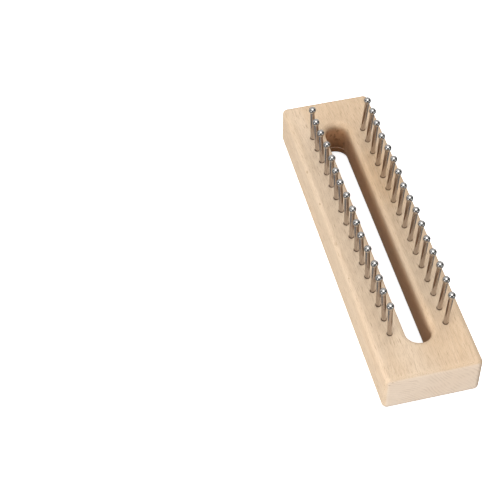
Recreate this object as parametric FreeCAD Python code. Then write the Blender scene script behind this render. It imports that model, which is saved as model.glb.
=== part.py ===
# Peg loom: a beech block with a long slot, and a row of ball-headed steel pins on each side of it.
# The knitting is worked from pin to pin across the slot and comes out through it, underneath.
#
# Frame: the origin is the middle of the underside, +X across the block, +Y along it, +Z up.
# Millimetres throughout. Each sub-part is written to parts/NODE.step.
import FreeCAD, Part

import math
import os

# Block
BLOCK_LENGTH = 250.0
BLOCK_WIDTH = 64.0
BLOCK_THICKNESS = 30.0
BLOCK_EDGE_RADIUS = 3.5

# Slot, milled right through, with round ends. It is milled from both faces, and the lower pass stops
# a little short at each end, which leaves a fine crescent-shaped ledge there.
SLOT_LENGTH = 200.0
SLOT_WIDTH = 17.0
SLOT_EDGE_RADIUS = 3.5
LOWER_PASS_DEPTH = 6.5    # from the underside
LOWER_PASS_SHORT = 0.3    # at each end

# Pin rows
PINS_PER_ROW = 16
PIN_PITCH = 12.0
ROW_SPACING = 37.0        # between the two rows, measured on the top of the block
PIN_SEAT_DEPTH = 15.0     # length pressed into the block

# How the pins stand. Each row leans outwards, so that the stitches don't slip off, and the pins are
# hammered in by hand, so each one strays a little from its row. A stray is a sine of the pin's number.
PIN_LEAN_DEG = 2.9
PIN_STRAY_DEG = 1.4
LEAN_STRAY = (4.8, 1.4, 2.7)    # radians: step from pin to pin, start, half the shift between the rows
TILT_STRAY = (1.6, 3.1, 0.9)    # the same, for the tilt along the row

# One pin, measured along its own axis from the top of the block
SHANK_RADIUS = 1.6
BALL_RADIUS = 2.5
BALL_HEIGHT = 27.5        # centre of the ball
NECK_FILLET = 0.35        # where the shank meets the ball
TIP_CHAMFER = 0.5

# One pin hole
DRILL_POINT_DEG = 118.0
COUNTERSINK = 0.4         # chamfer at the mouth, the same across and down
CUTTER_OVERRUN = 1.0      # how far the hole's cutter stands out of the block

UP = FreeCAD.Vector(0, 0, 1)


def point(radius, height):
    """A point of a turned profile, in the XZ plane."""
    return FreeCAD.Vector(radius, 0, height)


def turned(edges):
    """The solid made by turning a closed XZ profile once round the Z axis."""
    face = Part.Face(Part.Wire(edges))
    return face.revolve(FreeCAD.Vector(0, 0, 0), UP, 360)


def straight_edges(points):
    """Straight edges from each point to the next."""
    return [Part.makeLine(start, end) for start, end in zip(points, points[1:])]


def pin_places():
    """(side, number) of every pin: side is -1 left and 1 right, and numbers run from the far end."""
    return [(side, number) for side in (-1, 1) for number in range(1, PINS_PER_ROW + 1)]


def stray(wave, side, number):
    """Degrees that a pin strays in one direction."""
    step, start, row_shift = wave
    return PIN_STRAY_DEG * math.sin(step * number + start + row_shift * side)


def on_block(shape, side, number):
    """Stands a shape made along +Z on the block's top, at the place and the slant of one pin."""
    centre = FreeCAD.Vector(0, 0, 0)
    lean = PIN_LEAN_DEG + stray(LEAN_STRAY, side, number)
    tilt = stray(TILT_STRAY, side, number)
    row_y = PIN_PITCH * ((PINS_PER_ROW + 1) / 2 - number)
    placed = shape.copy()
    placed.rotate(centre, FreeCAD.Vector(0, 1, 0), side * lean)
    placed.rotate(centre, FreeCAD.Vector(1, 0, 0), -tilt)
    placed.translate(FreeCAD.Vector(side * ROW_SPACING / 2, row_y, BLOCK_THICKNESS))
    return placed


def make_pin():
    """A turned pin: chamfered tip, plain shank, small fillet at the neck and a ball head."""
    bottom = -PIN_SEAT_DEPTH
    # The neck fillet touches the shank from outside and the ball from below.
    fillet_centre_radius = SHANK_RADIUS + NECK_FILLET
    centre_distance = BALL_RADIUS + NECK_FILLET
    drop = math.sqrt(centre_distance ** 2 - fillet_centre_radius ** 2)
    fillet_centre_height = BALL_HEIGHT - drop
    ball_share = BALL_RADIUS / centre_distance
    on_ball = point(fillet_centre_radius * ball_share, BALL_HEIGHT - drop * ball_share)
    half_turn = math.atan2(drop, -fillet_centre_radius) / 2 + math.pi / 2
    fillet_middle = point(
        fillet_centre_radius + NECK_FILLET * math.cos(half_turn),
        fillet_centre_height + NECK_FILLET * math.sin(half_turn))
    shank_top = point(SHANK_RADIUS, fillet_centre_height)
    ball_top = point(0, BALL_HEIGHT + BALL_RADIUS)
    edges = straight_edges([
        ball_top,
        point(0, bottom),
        point(SHANK_RADIUS - TIP_CHAMFER, bottom),
        point(SHANK_RADIUS, bottom + TIP_CHAMFER),
        shank_top])
    edges.append(Part.Arc(shank_top, fillet_middle, on_ball).toShape())
    edges.append(Part.Arc(on_ball, point(BALL_RADIUS, BALL_HEIGHT), ball_top).toShape())
    return turned(edges)


def make_hole_cutter():
    """What one pin hole removes: a drilled hole with a pointed bottom and a countersunk mouth."""
    drill_point = SHANK_RADIUS / math.tan(math.radians(DRILL_POINT_DEG / 2))
    mouth_radius = SHANK_RADIUS + COUNTERSINK + CUTTER_OVERRUN
    corners = [
        point(0, -PIN_SEAT_DEPTH - drill_point),
        point(SHANK_RADIUS, -PIN_SEAT_DEPTH),
        point(SHANK_RADIUS, -COUNTERSINK),
        point(mouth_radius, CUTTER_OVERRUN),
        point(0, CUTTER_OVERRUN)]
    return turned(straight_edges(corners + corners[:1]))


def make_slot_pass(length, bottom, top):
    """A prism with the slot's round-ended outline, between two heights."""
    radius = SLOT_WIDTH / 2
    straight = length / 2 - radius
    right_far = FreeCAD.Vector(radius, straight, bottom)
    left_far = FreeCAD.Vector(-radius, straight, bottom)
    left_near = FreeCAD.Vector(-radius, -straight, bottom)
    right_near = FreeCAD.Vector(radius, -straight, bottom)
    far_end = FreeCAD.Vector(0, length / 2, bottom)
    near_end = FreeCAD.Vector(0, -length / 2, bottom)
    outline = Part.Wire([
        Part.Arc(right_far, far_end, left_far).toShape(),
        Part.makeLine(left_far, left_near),
        Part.Arc(left_near, near_end, right_near).toShape(),
        Part.makeLine(right_near, right_far)])
    return Part.Face(outline).extrude(UP * (top - bottom))


def is_slot_rim(edge):
    """True for an edge of the slot where it meets the block's top or bottom."""
    box = edge.BoundBox
    near = 0.01
    inside = box.XMax < SLOT_WIDTH / 2 + near and box.XMin > -SLOT_WIDTH / 2 - near
    on_bottom = box.ZMax < near
    on_top = box.ZMin > BLOCK_THICKNESS - near
    return inside and (on_bottom or on_top)


def make_body():
    """The beech block with rounded edges, the slot with softened rims, and the blind pin holes."""
    corner = FreeCAD.Vector(-BLOCK_WIDTH / 2, -BLOCK_LENGTH / 2, 0)
    block = Part.makeBox(BLOCK_WIDTH, BLOCK_LENGTH, BLOCK_THICKNESS, corner)
    block = block.makeFillet(BLOCK_EDGE_RADIUS, block.Edges)
    upper_pass = make_slot_pass(SLOT_LENGTH, LOWER_PASS_DEPTH, BLOCK_THICKNESS)
    lower_pass = make_slot_pass(SLOT_LENGTH - 2 * LOWER_PASS_SHORT, 0, LOWER_PASS_DEPTH)
    block = block.cut([upper_pass, lower_pass])
    block = block.makeFillet(SLOT_EDGE_RADIUS, [edge for edge in block.Edges if is_slot_rim(edge)])
    cutter = make_hole_cutter()
    return block.cut([on_block(cutter, side, number) for side, number in pin_places()])


def only_solid(shape):
    """The one solid in a shape; anything else is a modelling fault."""
    solids = shape.Solids
    if len(solids) != 1 or not solids[0].isValid():
        raise ValueError("expected one valid solid, found %d" % len(solids))
    return solids[0]


def make_parts():
    """Every node's name and solid."""
    parts = {"beech_body": only_solid(make_body())}
    pin = make_pin()
    for side, number in pin_places():
        row = "left" if side < 0 else "right"
        parts["pin_%s_%02d" % (row, number)] = only_solid(on_block(pin, side, number))
    return parts


os.makedirs("parts", exist_ok=True)
for name, solid in make_parts().items():
    solid.exportStep("parts/%s.step" % name)
    print("%-14s %10.1f mm3" % (name, solid.Volume))
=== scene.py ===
"""Peg loom: a beech block with a long slot and two rows of ball-headed steel pins.

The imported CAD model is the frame. The block keeps its CAD mesh and gets a solid beech material.
Each pin is turned again here as a finer mesh, on the axis of the CAD pin that it stands for.
"""

import math

import bpy
import numpy as np
from mathutils import Matrix, Vector


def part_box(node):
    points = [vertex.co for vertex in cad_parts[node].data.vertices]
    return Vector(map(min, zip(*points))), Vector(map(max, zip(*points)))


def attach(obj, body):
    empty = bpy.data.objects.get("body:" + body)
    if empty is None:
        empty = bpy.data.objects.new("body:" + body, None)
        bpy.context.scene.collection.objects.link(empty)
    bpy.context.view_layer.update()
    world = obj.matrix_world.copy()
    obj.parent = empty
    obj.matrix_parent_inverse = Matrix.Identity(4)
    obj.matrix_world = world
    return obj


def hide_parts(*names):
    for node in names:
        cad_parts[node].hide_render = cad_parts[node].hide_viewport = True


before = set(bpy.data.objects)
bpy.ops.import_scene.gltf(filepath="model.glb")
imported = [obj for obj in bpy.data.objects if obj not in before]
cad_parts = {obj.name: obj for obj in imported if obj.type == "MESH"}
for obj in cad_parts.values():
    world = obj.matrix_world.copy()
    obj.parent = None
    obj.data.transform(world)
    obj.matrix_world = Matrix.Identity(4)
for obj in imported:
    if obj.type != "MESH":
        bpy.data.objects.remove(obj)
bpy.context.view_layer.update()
BLOCK_LOW, BLOCK_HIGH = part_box("beech_body")
MM = 0.001
BLOCK_TOP = BLOCK_HIGH.z / MM

# Camera: the direction it looks along, and where its axis meets the plane of the block's top
CAMERA_AZIMUTH = -13.53     # degrees; 0 looks along +Y
CAMERA_ELEVATION = 49.23    # degrees above the horizon
CAMERA_ROLL = -0.47         # degrees
CAMERA_DISTANCE = 927.2 * MM
CAMERA_LENS = 100.94        # millimetres, on a 36 mm wide sensor
AIM_ACROSS = -86.9 * MM     # from the middle of the block, along X
AIM_ALONG = -1.1 * MM       # from the middle of the block, along Y

# Pins: a turned profile measured from the centre of the ball, down the pin's own axis
BALL_RADIUS = 2.5 * MM
SHANK_RADIUS = 1.6 * MM
NECK_FILLET = 0.35 * MM
TIP_CHAMFER = 0.5 * MM
PIN_SEGMENTS = 64           # faces round the pin
SHANK_STEPS = 24            # rings of faces down the shank, round the fillet and over the ball
FILLET_STEPS = 6
BALL_STEPS = 28
BALL_TO_SHANK = (-1.6, -2.4)    # millimetres from the ball's centre: plate above, drawn wire below

# Studio: softboxes as (name, azimuth, elevation, distance in metres, size in metres, watts, mirrored).
# Only the top one and the two dim reflectors show in the polished balls: the others light the wood
# but are hidden from reflections.
SOFTBOXES = [
    ("softbox_top", -22, 72, 2.20, 2.60, 26.5, True),
    ("softbox_front_left", -50, 13, 2.40, 1.20, 49.5, False),
    ("softbox_front_right", 38, 10, 2.40, 0.90, 15.0, False),
    ("reflector_left", -62, 8, 2.40, 1.20, 8.0, True),
    ("reflector_right", 34, 8, 2.40, 0.90, 3.5, True),
    ("softbox_left", -90, 16, 2.40, 0.90, 13.0, False),
    ("softbox_behind", 150, 38, 2.40, 2.70, 36.0, False),
]
ROOM_BRIGHTNESS = 1.2
BACKDROP_BRIGHTNESS = 0.9
FLOOR_GLOW = 0.78
FLOOR_HALF = 3.0            # metres

# Wood, in millimetres in the block's own axes
RING_HEART = (-78, 0, -72)      # the tree's middle, below and to the left of the block
RING_SPACING = 2.1
SLOT_ZONE_ACROSS = (11.0, 12.5)     # the slot and its rounded rim end between these distances
SLOT_ZONE_ALONG = (103.0, 106.0)
WARM_PATCH = ((20.0, 44.0, 22.0), (20.0, 46.0, 40.0))   # centre and half size

# Small marks in the wood: centre and half size
HANDLING_MARKS = [
    ((-27.3, -124.2, 27.6), (0.9, 1.6, 0.6)),
    ((-29.3, -124.4, 25.3), (0.9, 1.6, 0.7)),
    ((-31.0, 59.5, 29.0), (1.0, 1.8, 1.2)),
    ((-30.8, 28.0, 29.3), (0.9, 1.5, 0.9)),
    ((-30.4, -40.0, 29.4), (0.7, 0.9, 0.7)),
]


def link(obj):
    bpy.context.scene.collection.objects.link(obj)
    return obj


# ---------------------------------------------------------------- node helpers

class Nodes:
    """A short way to write a node tree: add returns the new node, and the others an output to plug in."""

    def __init__(self, tree):
        self.tree = tree
        tree.nodes.clear()

    def add(self, kind, inputs=None, **settings):
        node = self.tree.nodes.new(kind)
        for name, value in settings.items():
            setattr(node, name, value)
        for key, value in (inputs or {}).items():
            socket = node.inputs[key]
            if isinstance(value, bpy.types.NodeSocket):
                self.tree.links.new(value, socket)
            else:
                socket.default_value = value
        return node

    def math(self, operation, *values):
        return self.add("ShaderNodeMath", dict(enumerate(values)), operation=operation).outputs[0]

    def product(self, first, *others):
        for other in others:
            first = self.math("MULTIPLY", first, other)
        return first

    def vector(self, operation, first, second):
        node = self.add("ShaderNodeVectorMath", {0: first, 1: second}, operation=operation)
        return node.outputs["Vector"]

    def length(self, vector):
        return self.add("ShaderNodeVectorMath", {0: vector}, operation="LENGTH").outputs["Value"]

    def scaled(self, vector, scale, offset=(0, 0, 0), turn=(0, 0, 0)):
        node = self.add("ShaderNodeMapping", {
            "Vector": vector, "Scale": scale, "Location": offset, "Rotation": turn})
        return node.outputs[0]

    def noise(self, vector, scale=1.0, detail=2.0, roughness=0.5, output="Fac"):
        node = self.add("ShaderNodeTexNoise", {
            "Vector": vector, "Scale": scale, "Detail": detail, "Roughness": roughness})
        return node.outputs[output]

    def voronoi(self, vector, output="Distance"):
        node = self.add("ShaderNodeTexVoronoi", {"Vector": vector, "Scale": 1.0})
        return node.outputs[output]

    def ramp(self, value, low, high, to_low=0.0, to_high=1.0, smooth=True):
        node = self.add("ShaderNodeMapRange", {
            "Value": value, "From Min": low, "From Max": high,
            "To Min": to_low, "To Max": to_high})
        node.interpolation_type = "SMOOTHSTEP" if smooth else "LINEAR"
        return node.outputs[0]

    def mix(self, factor, first, second, blend="MIX"):
        node = self.add("ShaderNodeMix", data_type="RGBA", blend_type=blend, clamp_factor=True)
        for socket, value in zip((node.inputs[0], node.inputs[6], node.inputs[7]), (factor, first, second)):
            if isinstance(value, bpy.types.NodeSocket):
                self.tree.links.new(value, socket)
            else:
                socket.default_value = value if socket is node.inputs[0] else (*value, 1.0)
        return node.outputs[2]

    def tinted(self, colour, mask, amount, tint, blend="MIX"):
        """The colour with a tint over it, laid on by the amount where the mask is 1."""
        return self.mix(self.product(mask, amount), colour, tint, blend)

    def surface(self, shader):
        self.add("ShaderNodeOutputMaterial", {"Surface": shader})


def new_material(name):
    material = bpy.data.materials.new(name)
    material.use_nodes = True
    return material, Nodes(material.node_tree)


# ---------------------------------------------------------------- beech

def hole_mouth_shade(n, axes, depth):
    """Painted shade round the mouth of each pin hole: 1 there, 0 elsewhere on the block."""
    first, second, across = (pin_seat(node) for node in ("pin_left_01", "pin_left_02", "pin_right_01"))
    pitch = abs(second.y - first.y) / MM
    half_spacing = abs(across.x - first.x) / MM / 2
    row_end = first.y / MM
    side = n.math("SUBTRACT", n.math("ABSOLUTE", axes["X"]), half_spacing)
    along = n.math("FLOORED_MODULO", n.math("ADD", axes["Y"], row_end + pitch / 2), pitch)
    along = n.math("SUBTRACT", along, pitch / 2)
    reach = n.length(n.add("ShaderNodeCombineXYZ", {0: side, 1: along}).outputs[0])
    near = n.ramp(reach, 1.75, 2.25, 1.0, 0.0)
    in_rows = n.ramp(n.math("ABSOLUTE", axes["Y"]), row_end + 4, row_end + 5, 1.0, 0.0)
    on_top = n.ramp(depth, 0.5, 1.0, 1.0, 0.0)
    return n.product(near, in_rows, on_top)


def spots(n, place, marks):
    """1 inside each of a few small marks, given as (centre, half size) in millimetres."""
    total = 0.0
    for centre, size in marks:
        offset = n.vector("DIVIDE", n.vector("SUBTRACT", place, centre), size)
        total = n.math("MAXIMUM", total, n.ramp(n.length(offset), 0.4, 1.0, 1.0, 0.0))
    return total


def wood_figure(n, place):
    """What the tree grew, as masks: rings, bands, fibre, ray flecks and pores, with the grain along Y."""
    # The grain wanders slowly along the block.
    drift = n.noise(n.scaled(place, (0.018, 0.0055, 0.018)), output="Color")
    wander = n.vector("MULTIPLY", n.vector("SUBTRACT", drift, (0.5, 0.5, 0.5)), (16, 0, 16))
    grain = n.vector("ADD", place, wander)

    # Growth rings: each darkens towards its late wood, which shows in some places more than in others.
    from_heart = n.vector("SUBTRACT", grain, RING_HEART)
    radius = n.length(n.vector("MULTIPLY", from_heart, (1, 0, 1)))
    uneven = n.product(n.noise(n.scaled(place, (0.045, 0.003, 0.045))), 9.0)
    rings = n.math("FRACT", n.math("DIVIDE", n.math("ADD", radius, uneven), RING_SPACING))
    late_wood = n.product(n.ramp(rings, 0.35, 0.80), n.ramp(rings, 0.86, 1.0, 1.0, 0.0))
    patchy = n.noise(n.scaled(place, (0.11, 0.01, 0.16)))

    # Ray flecks: dark dashes of mixed size and strength, one in each cell at most. Pores are far smaller.
    cells = n.scaled(grain, (1.25, 0.125, 1.00), turn=(0, math.radians(36), 0))
    chance = n.add("ShaderNodeSeparateColor", {0: n.voronoi(cells, output="Color")}).outputs
    fleck_size = n.ramp(chance[0], 0.25, 0.95, 0.02, 0.38)
    flecks = n.ramp(n.math("DIVIDE", n.voronoi(cells), fleck_size), 0.40, 1.0, 1.0, 0.0)
    pore_cells = n.scaled(grain, (1.9, 0.36, 1.9), offset=(7.3, 1.9, 4.4))

    # Fibre: short fine streaks, longer soft ones, and broad bands and clouds.
    short = n.noise(n.scaled(grain, (2.0, 0.115, 2.0)), detail=3.0, roughness=0.62)
    long = n.noise(n.scaled(grain, (0.75, 0.030, 0.75)))
    bands = n.noise(n.scaled(grain, (0.13, 0.006, 0.13)))
    clouds = n.noise(n.scaled(place, (0.028, 0.012, 0.028)))
    return {
        "late_wood": n.product(late_wood, n.ramp(patchy, 0.38, 0.66, 0.15, 1.0)),
        "bands": n.ramp(bands, 0.3, 0.7),
        "clouds": n.ramp(clouds, 0.42, 0.68),
        "long_dark": n.ramp(long, 0.40, 0.70),
        "fibre": short,
        "short_dark": n.ramp(short, 0.48, 0.66),
        "short_pale": n.ramp(short, 0.46, 0.30),
        "flecks": n.product(flecks, n.ramp(chance[1], 0.0, 1.0, 0.35, 1.0)),
        "pores": n.ramp(n.voronoi(pore_cells), 0.10, 0.30, 1.0, 0.0),
        "end_pores": n.ramp(n.noise(place, 2.4, 2.0, 0.6), 0.5, 0.75),
    }


def block_zones(n, axes, normal, depth):
    """Where on the block a point is, as masks: end grain, rounded edges and the parts of the slot. The
    rounded edges, the foot and the slot's walls carry painted shade, and the slot's ledge a painted
    highlight.
    """
    facing_along = n.math("ABSOLUTE", normal["Y"])
    across = n.ramp(n.math("ABSOLUTE", axes["X"]), *SLOT_ZONE_ACROSS, 1.0, 0.0)
    along = n.ramp(n.math("ABSOLUTE", axes["Y"]), *SLOT_ZONE_ALONG, 1.0, 0.0)
    in_slot = n.product(across, along)
    outside = n.math("SUBTRACT", 1.0, in_slot)
    below_rim = n.ramp(depth, 2.0, 9.0)
    slot_end = n.product(in_slot, n.ramp(facing_along, 0.12, 0.75))
    end_grain = n.ramp(facing_along, 0.78, 0.99)

    # A flat face has one normal component of 1, so their sum is above 1 only where an edge is rounded.
    roundness = n.math("ADD", n.math("ABSOLUTE", normal["X"]), facing_along)
    roundness = n.math("ADD", roundness, n.math("ABSOLUTE", normal["Z"]))
    # Painted shade: the rounded edges are darkened, less on the long edges than at the ends and less in the
    # slot.
    edge = n.ramp(roundness, 1.0, 1.42, smooth=False)
    edge = n.product(edge, n.math("SUBTRACT", 1.0, n.product(in_slot, 0.75)))
    return {
        "end_grain": end_grain,
        "block_end": n.product(end_grain, outside),
        "edge": n.product(edge, n.ramp(facing_along, 0.0, 0.3, 0.45, 0.62)),
        # Painted shade: darker and cooler along the foot of the block.
        "foot_shade": n.product(n.ramp(axes["Z"], 0.5, 3.2, 1.0, 0.0), outside),
        # The slot's walls below the rim: partly the darker milled wood, partly painted shade.
        "milled": n.product(in_slot, below_rim),
        # The slot's end walls below the rim: partly the burned end grain's colour, partly painted shade.
        "end_wall_tint_and_shade": n.product(slot_end, below_rim),
        # Painted shade: the slot's end walls grow darker towards the bottom.
        "end_wall_deep_shade": n.product(slot_end, n.ramp(depth, 8.0, 22.0, 0.0, 0.86)),
        # Painted highlight: the upward faces of the slot's ledge are made pale.
        "ledge": n.product(in_slot, below_rim, n.ramp(normal["Z"], 0.4, 0.9)),
    }


def beech_material():
    """Solid oiled beech, the same wood through every face, and what milling and handling left on it, with
    painted shade on its edges, foot, slot walls and pin holes and a painted highlight on the slot's ledge.

    The coordinates are the block's own, in millimetres.
    """
    material, n = new_material("beech_oiled")
    coordinates = n.add("ShaderNodeTexCoord").outputs
    place = n.scaled(coordinates["Object"], (1 / MM, 1 / MM, 1 / MM))
    axes = n.add("ShaderNodeSeparateXYZ", {0: place}).outputs
    normal = n.add("ShaderNodeSeparateXYZ", {0: coordinates["Normal"]}).outputs
    depth = n.math("SUBTRACT", BLOCK_TOP, axes["Z"])
    figure = wood_figure(n, place)
    zone = block_zones(n, axes, normal, depth)

    def by_grain(mask, along, across):
        """The mask, at one strength on long grain and at another on end grain."""
        return n.product(mask, n.ramp(zone["end_grain"], 0.0, 1.0, along, across))

    # The wood is paler to the left of the slot, and milling burned the slot's end walls in patches.
    sapwood = n.ramp(axes["X"], 2.0, -26.0)
    scorch = n.ramp(n.noise(n.scaled(place, (0.30, 0.30, 0.20)), 1.0, 3.0, 0.6), 0.48, 0.64)

    # Each layer is a mask, how much of the tint it lays on, and the tint. The first ones are the wood itself,
    # then come painted shade on the rounded edges and the foot, the slot's walls from the rim down with their
    # milled colour, painted shade and a painted highlight on the ledge, and the marks, with painted shade
    # round the pin holes.
    layers = [
        (figure["clouds"], 0.55, (0.680, 0.478, 0.300)),
        (sapwood, 0.24, (0.790, 0.640, 0.490)),
        (spots(n, place, [WARM_PATCH]), 0.60, (0.640, 0.430, 0.250)),
        (figure["long_dark"], 0.16, (0.540, 0.385, 0.250)),
        (by_grain(figure["short_dark"], 0.47, 0.20), 1.0, (0.470, 0.335, 0.220)),
        (figure["short_pale"], 0.30, (0.760, 0.620, 0.470)),
        (by_grain(figure["flecks"], 0.66, 0.20), 1.0, (0.330, 0.205, 0.120)),
        (by_grain(figure["pores"], 0.42, 0.10), 1.0, (0.400, 0.270, 0.165)),
        (zone["block_end"], 0.62, (0.735, 0.620, 0.515)),
        (by_grain(figure["late_wood"], 0.12, 0.42), 1.0, (0.500, 0.375, 0.280)),
        (n.product(figure["end_pores"], zone["end_grain"]), 0.35, (0.540, 0.420, 0.330)),
        # Painted shade on the rounded edges.
        (zone["edge"], 0.62, (0.74, 0.74, 0.74), "MULTIPLY"),
        # Painted shade along the foot of the block.
        (zone["foot_shade"], 0.60, (0.72, 0.75, 0.82), "MULTIPLY"),
        # Slot walls: partly darker milled wood, partly painted shade.
        (zone["milled"], 0.55, (0.700, 0.440, 0.270)),
        # Slot end walls: partly burned end-grain colour, partly painted shade.
        (zone["end_wall_tint_and_shade"], 0.50, (0.790, 0.430, 0.200)),
        # Painted shade, darker down the slot's end walls.
        (zone["end_wall_deep_shade"], 1.0, (0.370, 0.190, 0.090)),
        (n.product(scorch, zone["end_wall_tint_and_shade"]), 0.60, (0.270, 0.125, 0.060)),
        # Painted highlight on the upward faces of the slot's ledge.
        (zone["ledge"], 0.70, (0.930, 0.760, 0.600)),
        (spots(n, place, HANDLING_MARKS), 0.55, (0.300, 0.180, 0.100)),
        # Painted shade round the pin holes.
        (hole_mouth_shade(n, axes, depth), 0.62, (0.190, 0.115, 0.070)),
    ]
    colour = n.mix(figure["bands"], (0.630, 0.482, 0.336), (0.700, 0.548, 0.398))
    for layer in layers:
        colour = n.tinted(colour, *layer)

    roughness = n.math("ADD", 0.58, n.product(figure["fibre"], 0.16))
    roughness = n.math("ADD", roughness, n.product(zone["end_grain"], 0.12))
    roughness = n.math("SUBTRACT", roughness, n.product(zone["edge"], 0.08))

    height = n.math("SUBTRACT", n.product(figure["fibre"], 0.5), n.product(figure["flecks"], 0.6))
    bump = n.add("ShaderNodeBump", {"Strength": 0.30, "Distance": 0.12 * MM, "Height": height})
    shader = n.add("ShaderNodeBsdfPrincipled", {
        "Base Color": colour, "Roughness": roughness, "Normal": bump.outputs[0],
        "Specular IOR Level": 0.18})
    n.surface(shader.outputs[0])
    return material


# ---------------------------------------------------------------- nickel-plated steel

def steel_material():
    """Polished nickel plate over drawn wire: bright ball, shank with faint streaks along it."""
    material, n = new_material("nickel_plated_steel")
    place = n.scaled(n.add("ShaderNodeTexCoord").outputs["Object"], (1 / MM, 1 / MM, 1 / MM))
    streaks = n.noise(n.scaled(place, (3.0, 3.0, 0.12)), 1.0, 3.0, 0.6)
    smudges = n.noise(place, 0.5, 2.0)
    height = n.add("ShaderNodeSeparateXYZ", {0: place}).outputs["Z"]
    shank = n.ramp(height, *BALL_TO_SHANK)
    drawn = n.product(streaks, shank)
    roughness = n.math("ADD", 0.05, n.product(drawn, 0.26))
    roughness = n.math("ADD", roughness, n.product(smudges, 0.05))
    bump = n.add("ShaderNodeBump", {"Strength": 0.12, "Distance": 0.04 * MM, "Height": drawn})
    plate = n.mix(n.ramp(smudges, 0.3, 0.7), (0.640, 0.620, 0.600), (0.700, 0.685, 0.665))
    wire = n.mix(n.ramp(streaks, 0.35, 0.65), (0.430, 0.385, 0.365), (0.660, 0.615, 0.590))
    tone = n.mix(shank, plate, wire)
    shader = n.add("ShaderNodeBsdfPrincipled", {
        "Base Color": tone, "Metallic": 1.0, "Roughness": roughness, "Normal": bump.outputs[0]})
    n.surface(shader.outputs[0])
    return material


# ---------------------------------------------------------------- pins

def pin_axis(node):
    """(centre of the ball, direction up the pin, length below the centre) of a CAD pin, from its mesh.

    The axis runs from the middle of the tip's flat to the middle of the upper half of the ball. Each pass
    finds those two along the mesh's longest direction, and gives the next pass a better middle.
    """
    points = np.array([v.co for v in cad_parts[node].data.vertices])
    middle = (points.max(axis=0) + points.min(axis=0)) / 2
    for _ in range(3):
        spread = points - middle
        direction = np.linalg.svd(spread, full_matrices=False)[2][0]
        direction *= np.sign(direction[2])
        heights = spread @ direction
        low = points[heights < heights.min() + 0.1 * MM].mean(axis=0)
        high = points[heights > heights.max() - BALL_RADIUS].mean(axis=0)
        middle = (low + high) / 2
    direction = (high - low) / np.linalg.norm(high - low)
    heights = (points - low) @ direction
    ball = low + direction * (heights.max() - BALL_RADIUS)
    return Vector(ball), Vector(direction), float(heights.max() - BALL_RADIUS - heights.min())


def pin_seat(node):
    """Where the pin's axis meets the block's top."""
    ball, direction, _ = pin_axis(node)
    return ball - direction * ((ball.z - BLOCK_HIGH.z) / direction.z)


def pin_profile(length):
    """(radius, height) pairs from the tip up to the top of the ball; heights are from the ball's centre."""
    fillet_radius = SHANK_RADIUS + NECK_FILLET
    reach = BALL_RADIUS + NECK_FILLET
    drop = math.sqrt(reach ** 2 - fillet_radius ** 2)
    meets_ball = math.atan2(drop, -fillet_radius)
    profile = [(0.0, -length), (SHANK_RADIUS - TIP_CHAMFER, -length), (SHANK_RADIUS, -length + TIP_CHAMFER)]
    bottom = -length + TIP_CHAMFER
    for step in range(1, SHANK_STEPS):
        profile.append((SHANK_RADIUS, bottom + (-drop - bottom) * step / SHANK_STEPS))
    for step in range(FILLET_STEPS + 1):
        angle = math.pi + (meets_ball - math.pi) * step / FILLET_STEPS
        profile.append((fillet_radius + NECK_FILLET * math.cos(angle), -drop + NECK_FILLET * math.sin(angle)))
    start = -math.atan2(drop, fillet_radius)
    for step in range(1, BALL_STEPS):
        angle = start + (math.pi / 2 - start) * step / BALL_STEPS
        profile.append((BALL_RADIUS * math.cos(angle), BALL_RADIUS * math.sin(angle)))
    profile.append((0.0, BALL_RADIUS))
    return profile


def turned_mesh(name, profile):
    """A closed mesh made by turning a profile whose two ends lie on the Z axis."""
    vertices = [(0.0, 0.0, profile[0][1])]
    for radius, height in profile[1:-1]:
        for step in range(PIN_SEGMENTS):
            angle = 2 * math.pi * step / PIN_SEGMENTS
            vertices.append((radius * math.cos(angle), radius * math.sin(angle), height))
    vertices.append((0.0, 0.0, profile[-1][1]))
    rings = len(profile) - 2
    top = len(vertices) - 1
    faces = []
    for step in range(PIN_SEGMENTS):
        after = (step + 1) % PIN_SEGMENTS
        faces.append((0, 1 + after, 1 + step))
        for ring in range(rings - 1):
            low, high = 1 + ring * PIN_SEGMENTS, 1 + (ring + 1) * PIN_SEGMENTS
            faces.append((low + step, low + after, high + after, high + step))
        last = 1 + (rings - 1) * PIN_SEGMENTS
        faces.append((last + step, last + after, top))
    mesh = bpy.data.meshes.new(name)
    mesh.from_pydata(vertices, [], faces)
    mesh.shade_smooth()
    return mesh


def make_pins(material):
    """One finely turned pin for each CAD pin."""
    for node in sorted(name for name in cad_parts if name.startswith("pin_")):
        ball, direction, length = pin_axis(node)
        mesh = turned_mesh("turned_" + node, pin_profile(length))
        mesh.materials.append(material)
        pin = link(bpy.data.objects.new("turned_" + node, mesh))
        turn = Vector((0, 0, 1)).rotation_difference(direction).to_matrix().to_4x4()
        pin.matrix_world = Matrix.Translation(ball) @ turn
        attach(pin, "root")
        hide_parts(node)


# ---------------------------------------------------------------- studio

def grainy(n, dark, pale):
    """Grey with a fine grain in it, between two brightnesses."""
    grain = n.noise(n.add("ShaderNodeTexCoord").outputs["Object"], 40.0)
    return n.mix(grain, (dark, dark, dark), (pale, pale, pale))


def floor_plane(name, material, height):
    mesh = bpy.data.meshes.new(name)
    corners = [(x * FLOOR_HALF, y * FLOOR_HALF, 0) for x, y in ((-1, -1), (1, -1), (1, 1), (-1, 1))]
    mesh.from_pydata(corners, [], [(0, 1, 2, 3)])
    mesh.materials.append(material)
    plane = link(bpy.data.objects.new(name, mesh))
    plane.location.z = height
    return plane


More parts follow.
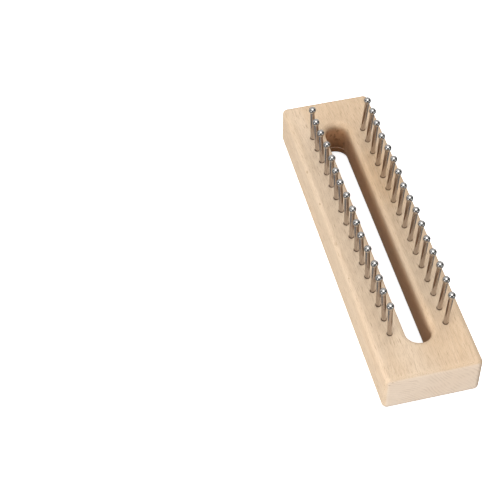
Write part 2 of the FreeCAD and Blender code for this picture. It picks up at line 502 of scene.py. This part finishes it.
def make_floor():
    """A plain pale floor that only the camera sees, and under it the dim table top that the rest sees."""
    material, n = new_material("floor_pale")
    shader = n.add("ShaderNodeBsdfPrincipled", {
        "Base Color": grainy(n, 0.84, 0.86), "Roughness": 0.8,
        "Emission Color": (1.0, 1.0, 1.0, 1.0), "Emission Strength": FLOOR_GLOW})
    n.surface(shader.outputs[0])
    pale = floor_plane("floor", material, BLOCK_LOW.z)
    pale.visible_diffuse = False
    pale.visible_glossy = False
    pale.visible_shadow = False

    material, n = new_material("table_grey")
    shader = n.add("ShaderNodeBsdfPrincipled", {"Base Color": grainy(n, 0.17, 0.19), "Roughness": 0.8})
    n.surface(shader.outputs[0])
    table = floor_plane("table", material, BLOCK_LOW.z - 1 * MM)
    table.visible_camera = False


def direction_to(azimuth, elevation):
    """From the object towards a thing at that azimuth and elevation, in degrees."""
    a, e = math.radians(azimuth), math.radians(elevation)
    return Vector((math.sin(a) * math.cos(e), -math.cos(a) * math.cos(e), math.sin(e)))


def make_softbox(name, azimuth, elevation, distance, size, power, mirrored):
    """A round softbox that faces the middle of the block. Azimuth is as the camera's."""
    light = bpy.data.lights.new(name, "AREA")
    light.shape = "DISK"
    light.size = size
    light.energy = power
    lamp = link(bpy.data.objects.new(name, light))
    lamp.visible_glossy = mirrored
    back = direction_to(azimuth, elevation)
    lamp.location = (BLOCK_LOW + BLOCK_HIGH) / 2 + back * distance
    lamp.rotation_mode = "QUATERNION"
    lamp.rotation_quaternion = (-back).to_track_quat("-Z", "Y")


def make_world():
    """A dim room: dark at the horizon, pale overhead, with a grey backdrop that only reflections show.

    The camera itself sees plain pale grey.
    """
    world = bpy.data.worlds.new("studio")
    bpy.context.scene.world = world
    world.use_nodes = True
    n = Nodes(world.node_tree)
    toward = n.add("ShaderNodeSeparateXYZ", {0: n.add("ShaderNodeTexCoord").outputs["Generated"]}).outputs
    overhead = n.ramp(toward["Z"], 0.45, 0.85, 0.04, 0.28)
    behind = n.ramp(toward["Y"], 0.55, 0.95, 0.0, 0.42)
    room = n.math("MAXIMUM", overhead, behind)
    backdrop = n.math("MAXIMUM", room, n.ramp(toward["Y"], 0.05, 0.50, 0.0, 0.50))
    path = n.add("ShaderNodeLightPath").outputs
    room = n.mix(path["Is Glossy Ray"], room, backdrop)
    dim = n.add("ShaderNodeBackground", {"Color": room, "Strength": ROOM_BRIGHTNESS})
    pale = n.add("ShaderNodeBackground", {
        "Color": (1.0, 1.0, 1.0, 1.0), "Strength": BACKDROP_BRIGHTNESS})
    both = n.add("ShaderNodeMixShader", {0: path["Is Camera Ray"], 1: dim.outputs[0], 2: pale.outputs[0]})
    n.add("ShaderNodeOutputWorld", {"Surface": both.outputs[0]})


def make_camera():
    camera = bpy.data.cameras.new("camera")
    camera.sensor_width = 36.0
    camera.lens = CAMERA_LENS
    camera.clip_start = 0.05
    camera.clip_end = 20.0
    rig = link(bpy.data.objects.new("camera", camera))
    middle = (BLOCK_LOW + BLOCK_HIGH) / 2
    aim = Vector((middle.x + AIM_ACROSS, middle.y + AIM_ALONG, BLOCK_HIGH.z))
    back = direction_to(CAMERA_AZIMUTH, CAMERA_ELEVATION)
    level = (-back).to_track_quat("-Z", "Y").to_matrix().to_4x4()
    roll = Matrix.Rotation(math.radians(CAMERA_ROLL), 4, "Z")
    rig.matrix_world = Matrix.Translation(aim + back * CAMERA_DISTANCE) @ level @ roll
    bpy.context.scene.camera = rig


def make_studio():
    bpy.context.scene.view_settings.view_transform = "Standard"
    make_world()
    make_floor()
    for softbox in SOFTBOXES:
        make_softbox(*softbox)
    make_camera()


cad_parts["beech_body"].data.materials[0] = beech_material()
make_pins(steel_material())
make_studio()
